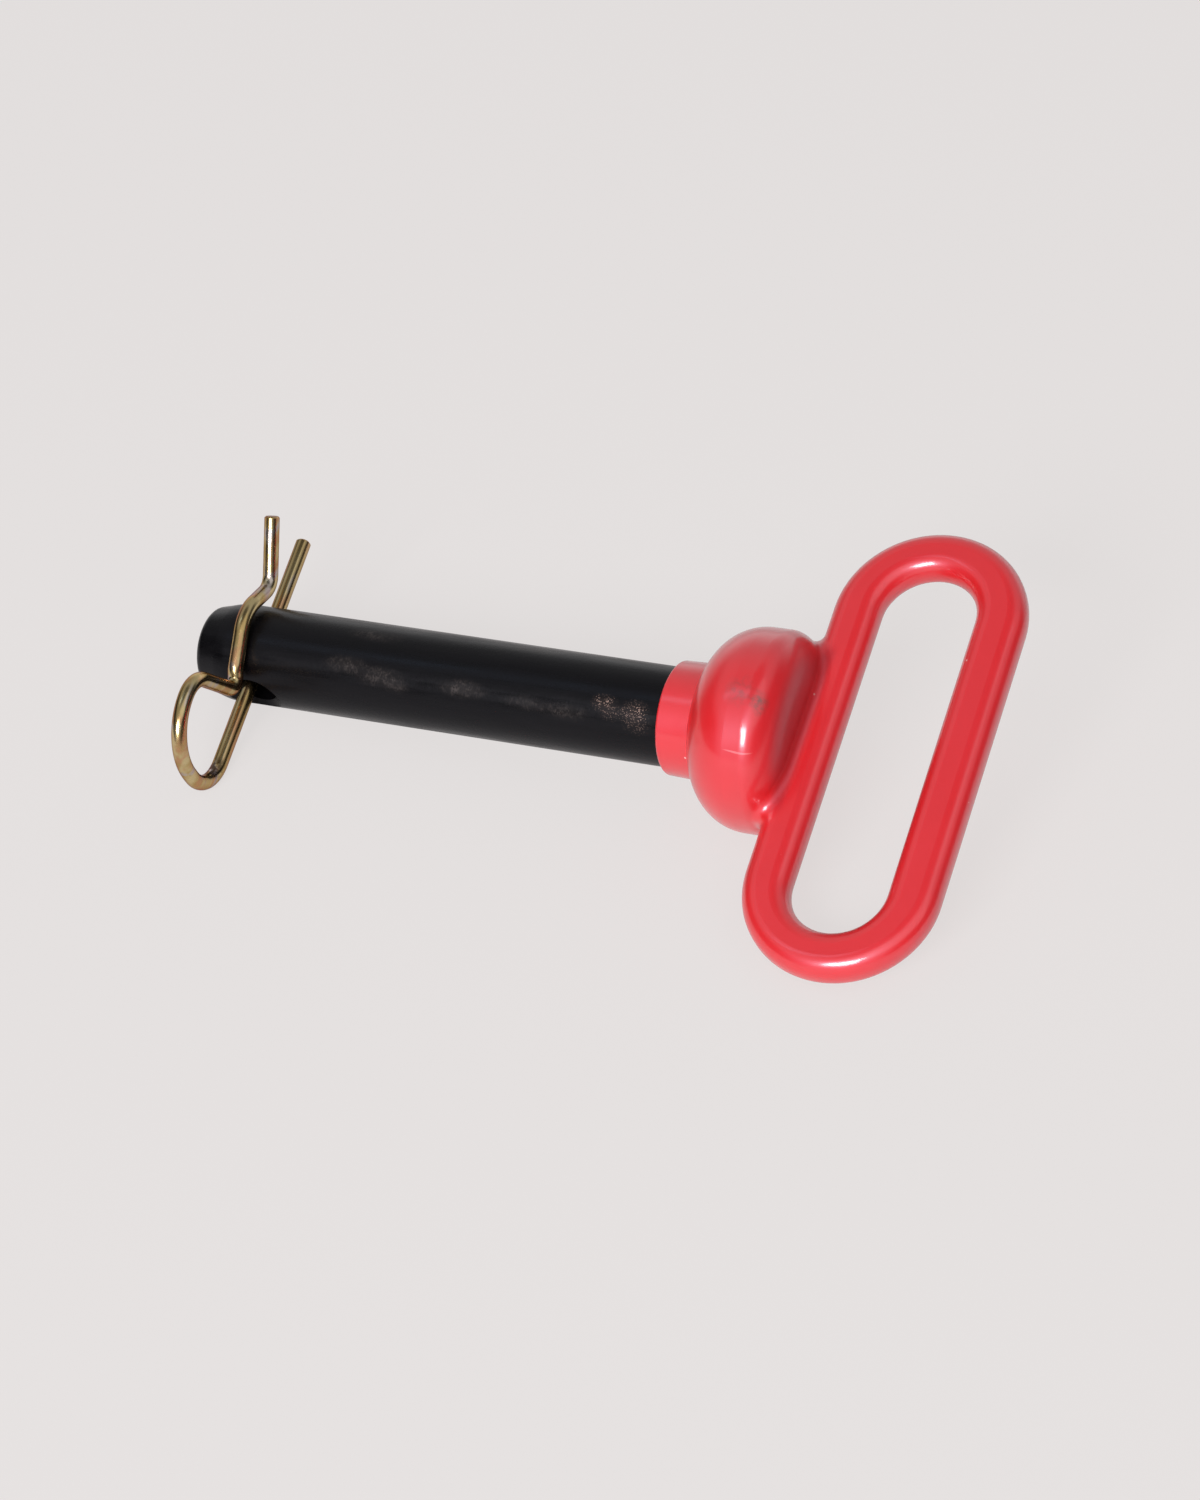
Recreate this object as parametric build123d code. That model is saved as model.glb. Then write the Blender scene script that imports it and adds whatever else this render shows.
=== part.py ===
from build123d import *
from math import asin, atan2, cos, degrees, hypot, radians, sin, tan
import os

# Hitch pin for a tractor drawbar: a one-piece steel forging (shank, domed head
# and loop handle), a vinyl grip coat moulded over its head and handle, and a
# bent-wire hair pin clip through the cross hole.  Millimetres.
#
# Everything is drawn with the shank along X (the handle at +X, the mouth of the
# coat's collar at X = 0), the cross hole and the long side of the handle along
# Y, and the handle flat in the XY plane.  lay_down() then turns the finished
# pieces into the pose in which the pin lies on a flat surface.

# Steel pin
SHANK_D = 25.4
HOLE_TO_COLLAR = 115.3  # cross hole's axis to the mouth of the collar
HOLE_TO_END = 16.8      # cross hole's axis to the flat end of the nose
HOLE_D = 10.3
COUNTERSINK_D = 15.6
NOSE_LENGTH = 8.2
NOSE_D = 21.2           # where the nose's cone would meet its flat end
NOSE_SHOULDER_R = 14.0
NOSE_EDGE_R = 2.6

# Vinyl grip coat
COAT = 1.6
COLLAR_MOUTH_D = 29.0
COLLAR_ROOT_D = 29.6
COLLAR_LENGTH = 9.0
COLLAR_LIP_R = 0.6

# Domed head, as coated
HEAD_D = 51.6
HEAD_RISE = 13.6        # from the collar's root to the head's full diameter
HEAD_BAND = 4.4         # straight between the dome and the rim
HEAD_RIM_DEPTH = 7.6    # the rim rolls over this far along the shank
HEAD_RIM_DROP = 12.3    # and this far in towards the flat back

# Loop handle, as coated
LOOP_LENGTH = 126.0
LOOP_WIDTH = 50.0
LOOP_THICKNESS = 9.6
LOOP_CORNER_R = 4.4
HEAD_BAR = 12.2         # width of the bar that grows out of the head
GRIP_BAR = 13.1         # width of the bar that the hand pulls
END_BAR = 11.9          # width of the two bends
LOOP_SINK = 3.4         # how deep the head bar lies in the head's flat back
LOOP_SHIFT = -1.26      # the forging sits this far off the shank's axis
LOOP_LEAN = 0.63        # degrees that it leans towards the shank
NECK_FILLET_R = 3.0     # concave fillet between head and loop

# Foot of the bare loop, inside the coat
NECK_LENGTH = 24.0
NECK_SEAT = 2.0         # how deep the foot starts inside the bare head
NECK_RISE = 3.0         # height of the foot above the bare head's back
NECK_TAPER = 38

# Hair pin clip
WIRE_D = 4.0
LEG_TIP = 33.9          # shank axis to the free end of the straight leg
LEG_PLAY = 0.45         # between the leg and the wall of the hole it bears on
LEG_BEARING = 127.5     # degrees round the hole, from the handle to the bow
LEG_TILT = 1.7          # degrees that the leg tips over inside its hole
CLIP_TURN = 2.0         # degrees that the clip is turned about its leg
EYE_END = 44.2          # shank axis to the end of the eye's centre line
EYE_WIDTH = 26.6        # leg to the far side of the eye, on centre lines
EYE_LENGTH = 20.2       # far side of the eye, measured along the leg
EYE_LEG_R = 10.5
EYE_END_R = 14.4
EYE_SIDE_R = 8.4
THROAT = (1.85, 155.3)  # how far outside the ring in which the wire would touch
PINCH = (3.05, 33.2)    # the shank, and in which direction from the leg's free end
THROAT_R = 2.8
PINCH_R = 4.5
BOW_CLEARANCE = 0.15    # between the bow and the shank
BOW_TOUCH = 112.5       # direction in which the bow bears on the shank, degrees
BOW_RUN_IN = 6.3        # straight of the bow, from there to its bend at the throat
BOW_RUN_OUT = 9.0       # and to its crown
BOW_FOOT_R = 4.5
BOW_CROWN_R = 10.0
FLARE_LENGTH = 18.4
FLARE_ANGLE = 38.0
WIRE_END_CHAMFER = 0.4

# Search for the roll at rest
ROLL_LIMIT = 60
ROLL_HALVINGS = 40
ROLL_SAMPLES = 400      # places tried along the clip's wire

SHANK_R = SHANK_D / 2
WIRE_R = WIRE_D / 2
END_X = -HOLE_TO_COLLAR - HOLE_TO_END
SHOULDER_X = END_X + NOSE_LENGTH
WIDEST_X = COLLAR_LENGTH + HEAD_RISE
RIM_X = WIDEST_X + HEAD_BAND
HEAD_R = HEAD_D / 2
BACK_X = RIM_X + HEAD_RIM_DEPTH
LOOP_X = BACK_X - LOOP_SINK


def dome_radius():
    """Radius of the arc from the collar's root to the head's full diameter."""
    step = HEAD_R - COLLAR_ROOT_D / 2
    return (HEAD_RISE**2 + step**2) / (2 * step)


def dome_profile(inset, foot_r):
    """Head outline from foot_r to the axis, with its surface moved in by inset."""
    dome_r = dome_radius()
    dome_mid = (WIDEST_X, HEAD_R - dome_r)
    rim_mid = (RIM_X, HEAD_R - HEAD_RIM_DROP)
    radius = dome_r - inset
    foot_angle = 180 - degrees(asin((foot_r - dome_mid[1]) / radius))
    dome = CenterArc(dome_mid, radius, foot_angle, 90 - foot_angle)
    rim = EllipticalCenterArc(
        rim_mid, HEAD_RIM_DEPTH - inset, HEAD_RIM_DROP - inset, 90, arc_size=-90
    )
    band = Line(dome @ 1, rim @ 0)
    back = Line(rim @ 1, (BACK_X - inset, 0))
    return dome, band, rim, back


def revolved(*curves):
    """Solid of revolution about X from curves that run from axis to axis."""
    edges = [edge for curve in curves for edge in curve.edges()]
    closing = Line(curves[-1] @ 1, curves[0] @ 0)
    return revolve(make_face(edges + [closing]), Axis.X)


def loop_ring(inset):
    """The handle's closed loop, with its surface moved in by inset."""
    window_w = LOOP_WIDTH - HEAD_BAR - GRIP_BAR
    window_l = LOOP_LENGTH - 2 * END_BAR
    window_x = LOOP_X + HEAD_BAR + window_w / 2
    middle_x = LOOP_X + LOOP_WIDTH / 2
    outside = SlotOverall(LOOP_LENGTH - 2 * inset, LOOP_WIDTH - 2 * inset, 90)
    window = SlotOverall(window_l + 2 * inset, window_w + 2 * inset, 90)
    flat = outside - Pos(window_x - middle_x, 0) * window
    ring = extrude(flat, LOOP_THICKNESS / 2 - inset, both=True)
    ring = fillet(ring.edges(), LOOP_CORNER_R - inset)
    return Pos(middle_x, LOOP_SHIFT, 0) * Rot(0, 0, LOOP_LEAN) * ring


def core_neck():
    """Flared foot that carries the bare loop on the bare head."""
    height = NECK_SEAT + NECK_RISE
    flare = height * tan(radians(NECK_TAPER))
    top_w = LOOP_THICKNESS - 2 * COAT
    foot = SlotOverall(NECK_LENGTH + 2 * flare, top_w + 2 * flare)
    base = Plane(
        origin=(BACK_X - COAT - NECK_SEAT, LOOP_SHIFT, 0),
        x_dir=(0, 1, 0),
        z_dir=(1, 0, 0),
    )
    return extrude(base * foot, height, taper=NECK_TAPER)


def cross_hole():
    """Drill and both countersinks, ready to cut from the shank."""
    drill = Rot(90, 0, 0) * Cylinder(HOLE_D / 2, SHANK_D * 2)
    rise = (COUNTERSINK_D - HOLE_D) / 2
    sink = Cone(HOLE_D / 2 - rise, COUNTERSINK_D / 2 + rise, 3 * rise)
    for side in (-1, 1):
        drill += Pos(0, side * (SHANK_R - rise / 2), 0) * Rot(-90 * side, 0, 0) * sink
    return Pos(-HOLE_TO_COLLAR, 0, 0) * drill


def forged_pin():
    head = dome_profile(COAT, SHANK_R)
    nose = FilletPolyline(
        (END_X, 0),
        (END_X, NOSE_D / 2),
        (SHOULDER_X, SHANK_R),
        head[0] @ 0,
        radius=[NOSE_EDGE_R, NOSE_SHOULDER_R],
    )
    return revolved(nose, *head) + core_neck() + loop_ring(COAT) - cross_hole()


def grip_coat(pin):
    """Collar, dome and loop as one skin, blended and emptied of the forging."""
    mouth = (0, COLLAR_MOUTH_D / 2)
    head = dome_profile(0, COLLAR_ROOT_D / 2)
    collar = FilletPolyline((0, 0), mouth, head[0] @ 0, radius=COLLAR_LIP_R)
    body = revolved(collar, *head)
    ring = loop_ring(0)
    joined = body + ring
    seam = new_edges(body, ring, combined=joined)
    return fillet(seam, NECK_FILLET_R) - pin


def leg_place():
    """Where the clip's leg crosses the shank's axis plane: X and Z."""
    off = (HOLE_D - WIRE_D) / 2 - LEG_PLAY
    return (
        -HOLE_TO_COLLAR + off * cos(radians(LEG_BEARING)),
        off * sin(radians(LEG_BEARING)),
    )


def clip_plane():
    """Plane of the clip: its x runs up the leg, its y points to the bow."""
    leg_x, leg_z = leg_place()
    leg = Vector(-sin(radians(LEG_TILT)), cos(radians(LEG_TILT)), 0)
    side = Vector(-sin(radians(CLIP_TURN)), 0, cos(radians(CLIP_TURN)))
    return Plane(origin=(leg_x, 0, leg_z), x_dir=leg, z_dir=leg.cross(side))


def clip_path():
    """Centre line of the wire, from the leg's tip round the eye to the flare."""
    touch = SHANK_R + WIRE_R + BOW_CLEARANCE
    shank = Vector(0, -leg_place()[1])

    def heading(angle):
        return Vector(cos(radians(angle)), sin(radians(angle)))

    throat = shank + heading(THROAT[1]) * (touch + THROAT[0])
    bearing = shank + heading(BOW_TOUCH) * touch
    foot = bearing - heading(BOW_TOUCH - 90) * BOW_RUN_IN
    crown = bearing + heading(BOW_TOUCH - 90) * BOW_RUN_OUT
    pinch = shank + heading(PINCH[1]) * (touch + PINCH[0])
    corners = [
        (LEG_TIP, 0),
        (-EYE_END, 0),
        (-EYE_END, EYE_WIDTH),
        (-EYE_END + EYE_LENGTH, EYE_WIDTH),
        throat,
        foot,
        crown,
        pinch,
        pinch + heading(FLARE_ANGLE) * FLARE_LENGTH,
    ]
    radii = [
        EYE_LEG_R,
        EYE_END_R,
        EYE_SIDE_R,
        THROAT_R,
        BOW_FOOT_R,
        BOW_CROWN_R,
        PINCH_R,
    ]
    return clip_plane() * FilletPolyline(*corners, radius=radii)


def hair_pin_clip():
    path = clip_path()
    start = Plane(origin=path @ 0, z_dir=path % 0)
    wire = sweep(start * Circle(WIRE_R), path=path)
    ends = [f.edges() for f in wire.faces().filter_by(GeomType.PLANE)]
    return chamfer([e for group in ends for e in group], WIRE_END_CHAMFER)


def rest_pitch():
    """Tilt at which the head's dome and the nose's shoulder touch the ground."""
    dome_r = dome_radius()
    reach = WIDEST_X - SHOULDER_X
    drop = SHANK_R - (HEAD_R - dome_r)
    return asin(dome_r / hypot(reach, drop)) - atan2(drop, reach)


def rest_roll(pitch):
    """Roll about the shank at which the clip's eye or the loop comes down."""
    dome_r = dome_radius()
    ground = -WIDEST_X * sin(pitch) + (HEAD_R - dome_r) * cos(pitch) + dome_r
    path = clip_path()
    loop_end = (LOOP_LENGTH - END_BAR) / 2 - LOOP_SHIFT
    rounds = [(path @ (k / ROLL_SAMPLES), WIRE_R) for k in range(ROLL_SAMPLES + 1)]
    rounds.append((Vector(LOOP_X + LOOP_WIDTH / 2, -loop_end, 0), LOOP_THICKNESS / 2))

    def depth(roll):
        return max(
            -p.X * sin(pitch) - (p.Y * sin(roll) + p.Z * cos(roll)) * cos(pitch) + r
            for p, r in rounds
        )

    low, high = 0, radians(ROLL_LIMIT)
    for _ in range(ROLL_HALVINGS):
        middle = (low + high) / 2
        low, high = (middle, high) if depth(middle) < ground else (low, middle)
    return low


def lay_down(pieces):
    """Turns the pieces to rest, with the origin under the middle of their box."""
    pitch = rest_pitch()
    turn = Rot(0, -degrees(pitch), 0) * Rot(degrees(rest_roll(pitch)), 0, 0)
    turned = {name: turn * piece for name, piece in pieces.items()}
    boxes = [piece.bounding_box() for piece in turned.values()]
    middle_x = (min(b.min.X for b in boxes) + max(b.max.X for b in boxes)) / 2
    middle_y = (min(b.min.Y for b in boxes) + max(b.max.Y for b in boxes)) / 2
    shift = Pos(-middle_x, -middle_y, -min(b.min.Z for b in boxes))
    return {name: shift * piece for name, piece in turned.items()}


def main():
    pin = forged_pin()
    pieces = {
        "forged_pin": pin,
        "grip_coat": grip_coat(pin),
        "hair_pin_clip": hair_pin_clip(),
    }
    os.makedirs("parts", exist_ok=True)
    for name, piece in lay_down(pieces).items():
        export_step(piece, f"parts/{name}.step")


main()
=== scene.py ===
from math import cos, radians, sin

import bpy
from mathutils import Matrix, Vector


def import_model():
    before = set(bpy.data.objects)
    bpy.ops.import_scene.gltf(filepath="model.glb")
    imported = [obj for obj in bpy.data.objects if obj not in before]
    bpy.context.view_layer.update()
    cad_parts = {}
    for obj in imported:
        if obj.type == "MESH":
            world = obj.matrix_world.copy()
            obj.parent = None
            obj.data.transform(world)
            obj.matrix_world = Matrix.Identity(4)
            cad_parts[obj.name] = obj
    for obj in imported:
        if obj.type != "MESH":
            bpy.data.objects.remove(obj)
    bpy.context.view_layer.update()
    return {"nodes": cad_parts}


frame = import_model()
scene = bpy.context.scene

# Hitch pin lying on a pale floor.  Metres; +X runs along the shank to the handle.
# Angles are in degrees and colours are linear.

# Camera, round the point it aims at
AIM = Vector((0.00944, -0.01284, 0.020))
CAMERA_DISTANCE = 1.12
CAMERA_AZIMUTH = -64.18
CAMERA_ELEVATION = 39.25
CAMERA_ROLL = -4.07
CAMERA_LENS = 108.0       # mm
CAMERA_SENSOR = 36.0      # mm, the long side

# Soft boxes: azimuth, elevation, distance, width, height, power, colour
SOFT_BOXES = {
    "key": (-90, 31, 2.4, 1.04, 0.76, 47.0, (1.0, 0.98, 1.0)),
    "fill": (-32, 52, 2.6, 2.90, 2.20, 8.5, (1.0, 0.99, 0.99)),
    "sky": (-155, 60, 2.6, 0.35, 1.00, 1.2, (0.55, 0.75, 1.0)),
}

# The room, which is lit evenly but for a dim ceiling, a pale backdrop behind the
# object and unlit walls past its handle and its nose.  A height is the sine of an
# elevation, a side the cosine of the angle from the middle, and each pair is where
# a fade begins and ends.
ROOM_COLOR = (1.0, 0.99, 0.985)
ROOM_LEVEL = 0.45
CEILING_LEVEL = 0.12
CEILING_HEIGHTS = (0.84, 0.975)
BACKDROP_LEVEL = 0.95
BACKDROP_AZIMUTH = 105
BACKDROP_HEIGHTS = (0.15, 0.55)
BACKDROP_SIDES = (0.3, 0.75)
WALL_LEVEL = 0.05
WALL_AZIMUTHS = (5, -170)
WALL_HEIGHTS = (0.40, 0.65)
WALL_SIDES = (0.45, 0.8)

FLOOR_SIZE = 12.0
FLOOR_COLOR = (0.797, 0.767, 0.759)
FLOOR_BOUNCE = (0.93, 0.915, 0.91)  # its colour as it lights the object
FLOOR_GLOW = 0.85   # share of its brightness that doesn't come from the lamps,
GLOSSY_GLOW = 0.40  # as the camera sees it and as gloss and metal mirror it

# How the shank lies: its pitch, its roll and the middle of the collar's mouth,
# from which places along the shank are measured, negative towards the nose
SHANK_PITCH = radians(5.1315)
SHANK_ROLL = radians(22.0285)
COLLAR_MOUTH = (0.024839, 0.001168, 0.023732)
SHANK_R = 0.0127

# Red vinyl, and what lies on it
VINYL = ((0.695, 0.0080, 0.0090), (0.735, 0.0110, 0.0125))
VINYL_ROUGHNESS = (0.38, 0.46)
SMUDGE_COLOR = (0.17, 0.042, 0.028)
SMUDGES = (  # place, radius, strength
    ((0.0476, -0.0118, 0.0484), 0.0055, 0.50),
    ((0.0525, -0.0122, 0.0466), 0.0035, 0.95),
    ((0.0530, -0.0138, 0.0450), 0.0025, 0.80),
)
DUST_COLOR = (0.86, 0.45, 0.44)
DUST_CHANCE = 0.86        # a cell with a random number above this has a speck
RUB_COLOR = (0.90, 0.40, 0.42)
RUB_STRENGTH = 0.35
RUB_PLACE = (0.0505, -0.0218, 0.0374)
RUB_HALF_SIZE = (0.0045, 0.0030, 0.0003)

# Grime and painted shade on the head's flat back, where the bar crosses it: the
# darker film and duller coat stand partly for dirt and partly for the shade that
# falls in that crevice.  A ball that holds it, and places along the shank between
# which its film of colour and its dullness set in, and at which both end
GRIME_AND_SHADE_COLOR = (0.34, 0.016, 0.018)
GRIME_AND_SHADE_STRENGTH = 0.6
GRIME_AND_SHADE_DULLING = 0.85
GRIME_AND_SHADE_MIDDLE = (0.0346, 0.0, 0.0)
GRIME_AND_SHADE_R = 0.026
FILM_START = (0.0325, 0.0345)
DULL_START = (0.0300, 0.0330)
GRIME_AND_SHADE_END = (0.0352, 0.0375)

# Black steel, and the scuffs on the shank: place along it, angle round it from its
# top towards the front, half length, half width, strength, and whether flecks of
# bare metal show in place of grey rubbing
STEEL = ((0.0012, 0.0011, 0.0015), (0.0040, 0.0036, 0.0044))
STEEL_ROUGHNESS = (0.24, 0.36)
RUBBED_COLOR = (0.085, 0.070, 0.064)
BARE_COLOR = (0.85, 0.58, 0.48)
BARE_CHANCE = 0.45
SCUFF_ROUGHENING = 0.15
SCUFF_DEPTH = 0.004
SCUFFS = (
    (-0.0870, 24.0, 0.0080, 0.0030, 0.60, False),
    (-0.0775, 33.0, 0.0090, 0.0035, 0.60, False),
    (-0.0725, 40.0, 0.0050, 0.0022, 0.45, False),
    (-0.0540, 32.0, 0.0085, 0.0028, 0.80, False),
    (-0.0360, 37.0, 0.0085, 0.0022, 0.40, False),
    (-0.0255, 40.0, 0.0095, 0.0024, 0.45, False),
    (-0.0150, 23.5, 0.0044, 0.0028, 0.90, True),
    (-0.0125, 33.0, 0.0050, 0.0024, 0.40, True),
    (-0.0065, 30.0, 0.0050, 0.0040, 0.90, True),
    (-0.0055, 44.0, 0.0050, 0.0028, 0.25, True),
    (-0.0820, -20.0, 0.0100, 0.0030, 0.45, False),
    (-0.0400, -38.0, 0.0120, 0.0025, 0.50, False),
    (-0.0650, 125.0, 0.0140, 0.0030, 0.60, False),
    (-0.0300, 170.0, 0.0110, 0.0030, 0.50, False),
)

# Yellow zinc.  The clip's wire was drawn along WIRE_AXIS, which stretches what
# shows in its plating.
WIRE_AXIS = (0.063079, -0.926590, -0.370746)
WIRE_STRETCH = 0.15
ZINC = ((0.48, 0.34, 0.14), (0.63, 0.51, 0.27))
ZINC_ROUGHNESS = (0.16, 0.25)
ZINC_COPPER = (0.54, 0.27, 0.15)
ZINC_COOL = (0.47, 0.45, 0.52)
ZINC_PIT = (0.16, 0.10, 0.06)
# darker patches at the bottom of the clip's eye, where it meets the leg
ZINC_DARK_PATCH = (0.09, 0.055, 0.03)
ZINC_DARK_PATCHES = (  # place, radius, strength
    ((-0.0901, -0.0358, 0.0040), 0.0045, 0.85),
    ((-0.0890, -0.0330, 0.0045), 0.0030, 0.60),
)

# Sockets of a Mix node that mixes colours
MIX_FACTOR, MIX_A, MIX_B, MIX_RESULT = 0, 6, 7, 2


def direction(azimuth, elevation):
    a, e = radians(azimuth), radians(elevation)
    return Vector((cos(a) * cos(e), sin(a) * cos(e), sin(e)))


class Nodes:
    """Short hand for building one node tree."""

    def __init__(self, tree):
        self.tree = tree
        tree.nodes.clear()

    def add(self, kind, inputs=None, **settings):
        node = self.tree.nodes.new(kind)
        for name, value in settings.items():
            setattr(node, name, value)
        for name, value in (inputs or {}).items():
            self.set(node.inputs[name], value)
        return node

    def set(self, socket, value):
        if isinstance(value, bpy.types.NodeSocket):
            self.tree.links.new(value, socket)
        elif isinstance(value, tuple) and len(value) == 3 and socket.type == "RGBA":
            socket.default_value = (*value, 1.0)
        else:
            socket.default_value = value

    def math(self, operation, a, b, clamp=False):
        node = self.add(
            "ShaderNodeMath", {0: a, 1: b}, operation=operation, use_clamp=clamp
        )
        return node.outputs[0]

    def times(self, first, *others):
        for other in others:
            first = self.math("MULTIPLY", first, other)
        return first

    def dot(self, a, b):
        node = self.add("ShaderNodeVectorMath", {0: a, 1: b}, operation="DOT_PRODUCT")
        return node.outputs["Value"]

    def noise(self, vector, scale, detail=2.0, rough=0.5):
        return self.add(
            "ShaderNodeTexNoise",
            {"Vector": vector, "Scale": scale, "Detail": detail, "Roughness": rough},
        ).outputs["Fac"]

    def band(self, value, low, high, out_low=0.0, out_high=1.0):
        """value mapped smoothly from low..high to out_low..out_high."""
        return self.add(
            "ShaderNodeMapRange",
            {
                "Value": value,
                "From Min": low,
                "From Max": high,
                "To Min": out_low,
                "To Max": out_high,
            },
            interpolation_type="SMOOTHSTEP",
        ).outputs["Result"]

    def stretched(self, vector, scale):
        node = self.add("ShaderNodeMapping", {"Vector": vector, "Scale": scale})
        return node.outputs[0]

    def local(self, vector, **placing):
        """vector as seen from a frame with this Location, Rotation or Scale."""
        inputs = {"Vector": vector, **placing}
        node = self.add("ShaderNodeMapping", inputs, vector_type="TEXTURE")
        return node.outputs[0]

    def along_shank(self, at):
        """Coordinates along and across the shank as it lies."""
        turn = (SHANK_ROLL, -SHANK_PITCH, 0.0)
        return self.local(at, Location=COLLAR_MOUTH, Rotation=turn)

    def mix(self, factor, a, b):
        node = self.add("ShaderNodeMix", data_type="RGBA")
        self.set(node.inputs[MIX_FACTOR], factor)
        self.set(node.inputs[MIX_A], a)
        self.set(node.inputs[MIX_B], b)
        return node.outputs[MIX_RESULT]

    def spot(self, vector, place, radius, soft):
        """1 inside radius * soft of place, fading to 0 at radius."""
        far = self.add(
            "ShaderNodeVectorMath", {0: vector, 1: place}, operation="DISTANCE"
        )
        return self.band(far.outputs["Value"], radius * soft, radius, 1.0, 0.0)

    def unit_spot(self, vector, soft):
        return self.spot(vector, (0.0, 0.0, 0.0), 1.0, soft)

    def dots(self, vector, scale, inner, outer, chance):
        """A dot in each Voronoi cell whose random number is above chance."""
        cells = self.add("ShaderNodeTexVoronoi", {"Vector": vector, "Scale": scale})
        drawn = self.add("ShaderNodeSeparateColor", {0: cells.outputs["Color"]})
        dot = self.band(cells.outputs["Distance"], inner, outer, 1.0, 0.0)
        return self.times(dot, self.math("GREATER_THAN", drawn.outputs[0], chance))


def material(name):
    mat = bpy.data.materials.new(name)
    mat.use_nodes = True
    return mat, Nodes(mat.node_tree)


def surface(n, inputs, height, distance, strength):
    """Principled shader on the material's output, with height as its bump."""
    shader = n.add("ShaderNodeBsdfPrincipled", inputs)
    bump = {"Height": height, "Distance": distance, "Strength": strength}
    n.set(shader.inputs["Normal"], n.add("ShaderNodeBump", bump).outputs[0])
    n.add("ShaderNodeOutputMaterial", {"Surface": shader.outputs[0]})


def red_vinyl():
    mat, n = material("red_vinyl")
    at = n.add("ShaderNodeTexCoord").outputs["Object"]
    color = n.mix(n.band(n.noise(at, 28.0, 3.0), 0.35, 0.7), *VINYL)
    for place, radius, strength in SMUDGES:
        patch = n.spot(at, place, radius, 0.1)
        uneven = n.band(n.noise(at, 650.0, 4.0, 0.6), 0.36, 0.64, 0.25, 1.0)
        color = n.mix(n.times(patch, uneven, strength), color, SMUDGE_COLOR)
    dust = n.dots(at, 150.0, 0.03, 0.055, DUST_CHANCE)
    color = n.mix(dust, color, DUST_COLOR)
    rub = n.unit_spot(n.local(at, Location=RUB_PLACE, Scale=RUB_HALF_SIZE), 0.5)
    color = n.mix(n.times(rub, RUB_STRENGTH), color, RUB_COLOR)

    # grime and painted shade in the crevice behind the bar: a darker film of colour
    # and a duller coat
    lying = n.along_shank(at)
    along = n.add("ShaderNodeSeparateXYZ", {0: lying}).outputs[0]
    grime_and_shade = n.spot(lying, GRIME_AND_SHADE_MIDDLE, GRIME_AND_SHADE_R, 0.8)
    grime_and_shade = n.times(grime_and_shade, n.band(along, *GRIME_AND_SHADE_END, 1.0, 0.0))
    film = n.times(n.band(along, *FILM_START), grime_and_shade)
    dull = n.times(n.band(along, *DULL_START), grime_and_shade)
    color = n.mix(n.times(film, GRIME_AND_SHADE_STRENGTH), color, GRIME_AND_SHADE_COLOR)
    coat = n.math("SUBTRACT", 1.0, n.times(dull, GRIME_AND_SHADE_DULLING))

    surface(
        n,
        {
            "Base Color": color,
            "Roughness": n.band(n.noise(at, 70.0, 3.0), 0.3, 0.75, *VINYL_ROUGHNESS),
            "Specular IOR Level": 0.85,
            "Specular Tint": (1.0, 0.72, 1.0),
            "Coat Weight": coat,
            "Coat IOR": 1.62,
            "Coat Roughness": 0.17,
            "Subsurface Weight": 0.05,
            "Subsurface Radius": (0.003, 0.0008, 0.0008),
            "Subsurface Scale": 1.0,
        },
        height=n.noise(at, 260.0, 2.0),
        distance=0.0003,
        strength=0.10,
    )
    return mat


def black_steel():
    mat, n = material("black_steel")
    at = n.add("ShaderNodeTexCoord").outputs["Object"]
    lying = n.along_shank(at)
    streaks = n.noise(n.stretched(lying, (0.12, 1.0, 1.0)), 420.0, 3.0, 0.6)
    color = n.mix(streaks, *STEEL)
    rough = n.band(streaks, 0.3, 0.7, *STEEL_ROUGHNESS)

    clumps = n.band(n.noise(lying, 500.0, 2.0), 0.40, 0.62)
    strokes = n.noise(n.stretched(lying, (1.0, 0.5, 0.5)), 2600.0, 3.0, 0.7)
    broken = n.times(n.band(strokes, 0.40, 0.62), clumps)
    rubbed = n.times(n.math("ADD", broken, 0.25), 0.8)
    flecks = n.dots(lying, 3300.0, 0.20, 0.45, BARE_CHANCE)
    uneven = n.math("ADD", n.times(clumps, 0.65), 0.35)
    flecks = n.math("ADD", n.times(flecks, uneven), 0.02)
    for x, turn, half_length, half_width, strength, bare in SCUFFS:
        place = (x, -SHANK_R * sin(radians(turn)), SHANK_R * cos(radians(turn)))
        size = (half_length, half_width, SCUFF_DEPTH)
        inside = n.unit_spot(n.local(lying, Location=place, Scale=size), 0.0)
        scuff = n.times(inside, flecks if bare else rubbed, strength)
        color = n.mix(scuff, color, BARE_COLOR if bare else RUBBED_COLOR)
        rough = n.math("ADD", rough, n.times(scuff, SCUFF_ROUGHENING), clamp=True)

    surface(
        n,
        {
            "Base Color": color,
            "Roughness": rough,
            "Specular IOR Level": 0.22,
            "Specular Tint": (0.90, 0.91, 1.0),
        },
        height=n.noise(lying, 900.0, 3.0, 0.6),
        distance=0.0004,
        strength=0.08,
    )
    return mat


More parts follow.
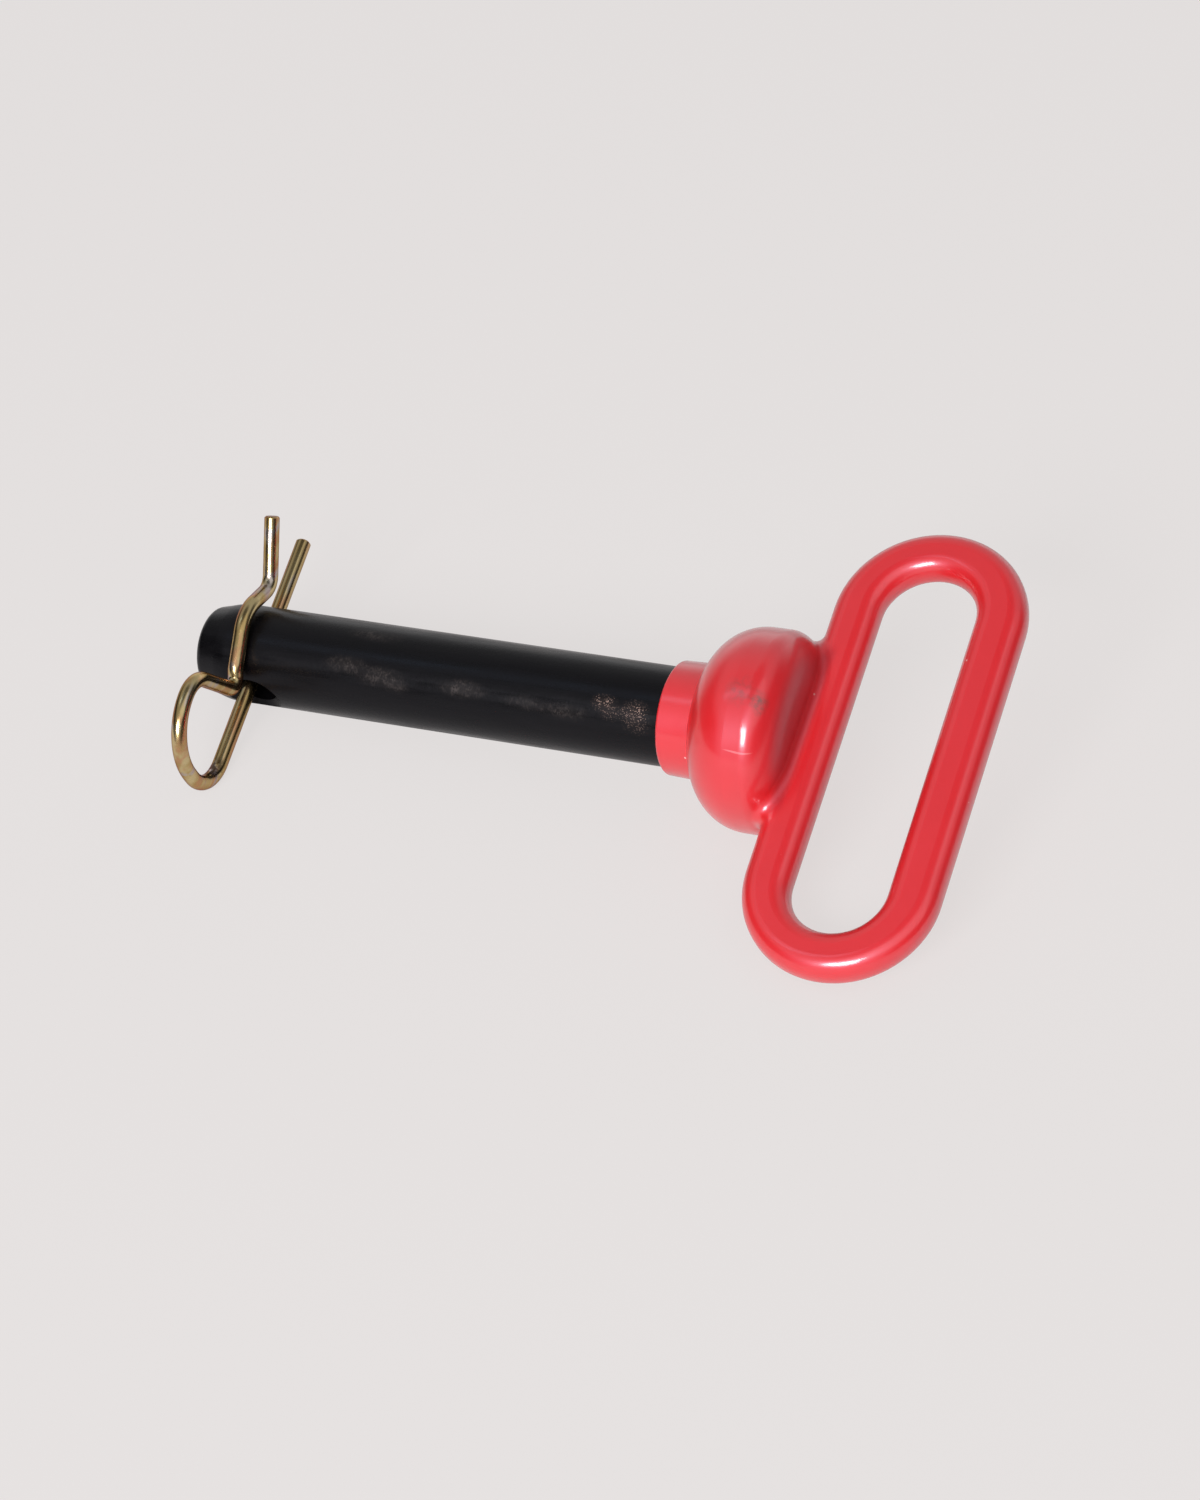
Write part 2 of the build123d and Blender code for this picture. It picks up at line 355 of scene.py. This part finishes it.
def yellow_zinc():
    mat, n = material("yellow_zinc")
    at = n.add("ShaderNodeTexCoord").outputs["Object"]
    squeeze = n.times(n.dot(at, WIRE_AXIS), WIRE_STRETCH - 1.0)
    shift = n.add(
        "ShaderNodeVectorMath", {0: WIRE_AXIS, "Scale": squeeze}, operation="SCALE"
    ).outputs[0]
    drawn = n.add(
        "ShaderNodeVectorMath", {0: at, 1: shift}, operation="ADD"
    ).outputs[0]

    # the chromate film drifts between straw, copper and a cool grey
    color = n.mix(n.band(n.noise(drawn, 330.0, 2.0), 0.36, 0.64), *ZINC)
    copper = n.band(n.noise(drawn, 420.0, 2.0), 0.48, 0.66)
    color = n.mix(n.times(copper, 0.7), color, ZINC_COPPER)
    cool = n.band(n.noise(drawn, 380.0, 2.0, 0.4), 0.58, 0.70)
    color = n.mix(n.times(cool, 0.6), color, ZINC_COOL)
    pits = n.band(n.noise(at, 1500.0, 3.0, 0.6), 0.66, 0.74)
    color = n.mix(n.times(pits, 0.3), color, ZINC_PIT)
    # darker patches at the bottom of the eye, where it meets the leg
    for place, radius, strength in ZINC_DARK_PATCHES:
        patch = n.spot(at, place, radius, 0.2)
        uneven = n.band(n.noise(at, 900.0, 3.0), 0.42, 0.56)
        color = n.mix(n.times(patch, uneven, strength), color, ZINC_DARK_PATCH)

    grain = n.noise(drawn, 500.0, 3.0)
    surface(
        n,
        {
            "Base Color": color,
            "Roughness": n.band(grain, 0.3, 0.7, *ZINC_ROUGHNESS),
            "Metallic": 1.0,
            "Specular Tint": (0.55, 0.40, 0.42),
        },
        height=grain,
        distance=0.0003,
        strength=0.07,
    )
    return mat


def floor():
    bpy.ops.mesh.primitive_plane_add(size=FLOOR_SIZE)
    plane = bpy.context.object
    plane.name = "floor"
    mat, n = material("floor")
    rays = n.add("ShaderNodeLightPath").outputs
    seen = n.math("MAXIMUM", rays["Is Camera Ray"], rays["Is Glossy Ray"])
    seen = n.math("MAXIMUM", seen, rays["Is Transmission Ray"])
    share = n.band(rays["Is Glossy Ray"], 0.0, 1.0, FLOOR_GLOW, GLOSSY_GLOW)
    shaded = n.add("ShaderNodeBsdfDiffuse", {"Color": FLOOR_COLOR}).outputs[0]
    glow = n.add("ShaderNodeEmission", {"Color": FLOOR_COLOR}).outputs[0]
    even = n.add("ShaderNodeMixShader", {0: share, 1: shaded, 2: glow}).outputs[0]
    plain = n.add("ShaderNodeBsdfDiffuse", {"Color": FLOOR_BOUNCE}).outputs[0]
    mixed = n.add("ShaderNodeMixShader", {0: seen, 1: plain, 2: even}).outputs[0]
    n.add("ShaderNodeOutputMaterial", {"Surface": mixed})
    plane.data.materials.append(mat)


def world():
    room = bpy.data.worlds.new("world")
    room.use_nodes = True
    n = Nodes(room.node_tree)
    way = n.add("ShaderNodeTexCoord").outputs["Generated"]
    rise = n.add("ShaderNodeSeparateXYZ", {0: way}).outputs[2]
    level = n.band(rise, *CEILING_HEIGHTS, ROOM_LEVEL, CEILING_LEVEL)

    behind = n.dot(way, direction(BACKDROP_AZIMUTH, 0))
    backdrop = n.times(
        n.band(behind, *BACKDROP_SIDES), n.band(rise, *BACKDROP_HEIGHTS, 1.0, 0.0)
    )
    level = n.math("ADD", level, n.times(backdrop, BACKDROP_LEVEL - ROOM_LEVEL))

    wall = n.band(rise, *WALL_HEIGHTS, WALL_LEVEL - ROOM_LEVEL, 0.0)
    for azimuth in WALL_AZIMUTHS:
        beside = n.band(n.dot(way, direction(azimuth, 0)), *WALL_SIDES)
        level = n.math("ADD", level, n.times(beside, wall))

    back = n.add("ShaderNodeBackground", {"Color": ROOM_COLOR, "Strength": level})
    n.add("ShaderNodeOutputWorld", {"Surface": back.outputs[0]})
    scene.world = room


def soft_boxes():
    for name, values in SOFT_BOXES.items():
        azimuth, elevation, distance, width, height, power, color = values
        lamp = bpy.data.lights.new(name, "AREA")
        lamp.shape = "RECTANGLE"
        lamp.size, lamp.size_y = width, height
        lamp.energy = power
        lamp.color = color
        box = bpy.data.objects.new(name, lamp)
        box.location = AIM + direction(azimuth, elevation) * distance
        box.rotation_euler = (AIM - box.location).to_track_quat("-Z", "Y").to_euler()
        scene.collection.objects.link(box)


def camera():
    forward = -direction(CAMERA_AZIMUTH, CAMERA_ELEVATION)
    level = forward.cross(Vector((0, 0, 1))).normalized()
    roll = radians(CAMERA_ROLL)
    right = level * cos(roll) + level.cross(forward) * sin(roll)
    up = right.cross(forward)
    data = bpy.data.cameras.new("camera")
    data.sensor_fit = "VERTICAL"
    data.sensor_height = CAMERA_SENSOR
    data.lens = CAMERA_LENS
    cam = bpy.data.objects.new("camera", data)
    turn = Matrix((right, up, -forward)).transposed().to_4x4()
    cam.matrix_world = Matrix.Translation(AIM - forward * CAMERA_DISTANCE) @ turn
    scene.collection.objects.link(cam)
    scene.camera = cam


def dress(node, mat):
    for slot in frame["nodes"][node].material_slots:
        slot.link = "OBJECT"
        slot.material = mat


dress("forged_pin", black_steel())
dress("grip_coat", red_vinyl())
dress("hair_pin_clip", yellow_zinc())
floor()
world()
soft_boxes()
camera()
scene.view_settings.view_transform = "Standard"
